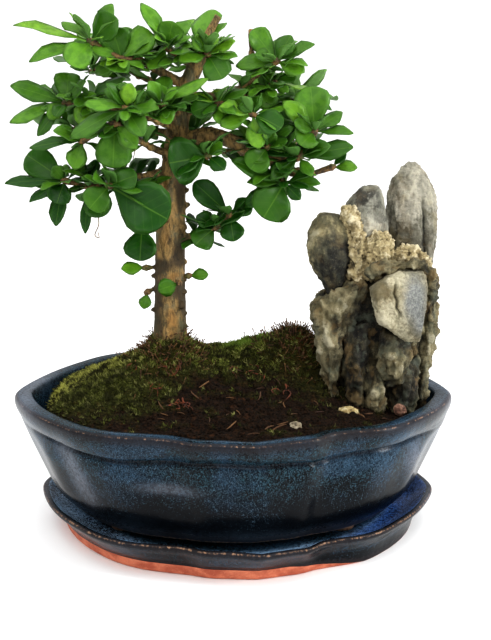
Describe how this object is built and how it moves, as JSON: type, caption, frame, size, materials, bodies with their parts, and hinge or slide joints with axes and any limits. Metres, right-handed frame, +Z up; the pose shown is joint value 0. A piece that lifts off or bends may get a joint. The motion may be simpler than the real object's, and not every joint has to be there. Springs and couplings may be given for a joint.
{
  "type": "fukien tea bonsai in a glazed pot with stones",
  "caption": "Small fukien tea bonsai with rosettes of leaves, in a lobed glazed pot on a matching saucer, beside a group of landscape stones.",
  "frame": {"origin": "middle of the saucer's flat underside, where the whole thing rests", "axes": "+Z up, +X to the right of the front view (towards the stones), +Y to the back"},
  "size_m": [0.2234, 0.1788, 0.2544],
  "materials": {
    "glaze": "glossy dark blue with pale blue flecks, brown where it thins at edges",
    "soil": "matte, crumbly, with moss",
    "bark": "rough, finely cracked",
    "leaf": "glossy upper side, paler matte underside",
    "stone": "matte, weathered, with paler edges",
    "mortar": "matte, crumbly",
    "screen": "matte"
  },
  "bodies": {
    "root": {"saucer": "glaze", "pot": "glaze", "drain_screen_left": "screen", "drain_screen_right": "screen", "soil": "soil", "stone_tall": "stone", "stone_middle": "stone", "stone_left": "stone", "stone_front": "stone", "stone_crag": "stone", "mortar": "mortar", "pebble_tan": "stone", "pebble_red": "stone", "pebble_pale": "stone", "trunk": "bark", "spray_upper_left": "leaf", "spray_left": "leaf", "spray_left_near": "leaf", "spray_left_front": "leaf", "spray_lower_left": "leaf", "spray_low_front": "leaf", "spray_crown_left": "leaf", "spray_crown": "leaf", "spray_front": "leaf", "spray_right_front": "leaf", "spray_middle_front": "leaf", "spray_right_inner": "leaf", "spray_right_hanging": "leaf", "spray_right_middle": "leaf", "spray_right_tip": "leaf", "spray_upper_right": "leaf", "spray_right_high": "leaf", "spray_low_right": "leaf", "spray_bud_upper": "leaf", "spray_bud_left": "leaf", "spray_bud_low": "leaf", "spray_bud_front": "leaf", "spray_bud_right": "leaf", "spray_back_upper_left": "leaf", "spray_back_left": "leaf", "spray_back_low_left": "leaf", "spray_back_top": "leaf", "spray_back_low": "leaf", "spray_back_right": "leaf", "spray_back_low_right": "leaf"}
  },
  "joints": []
}
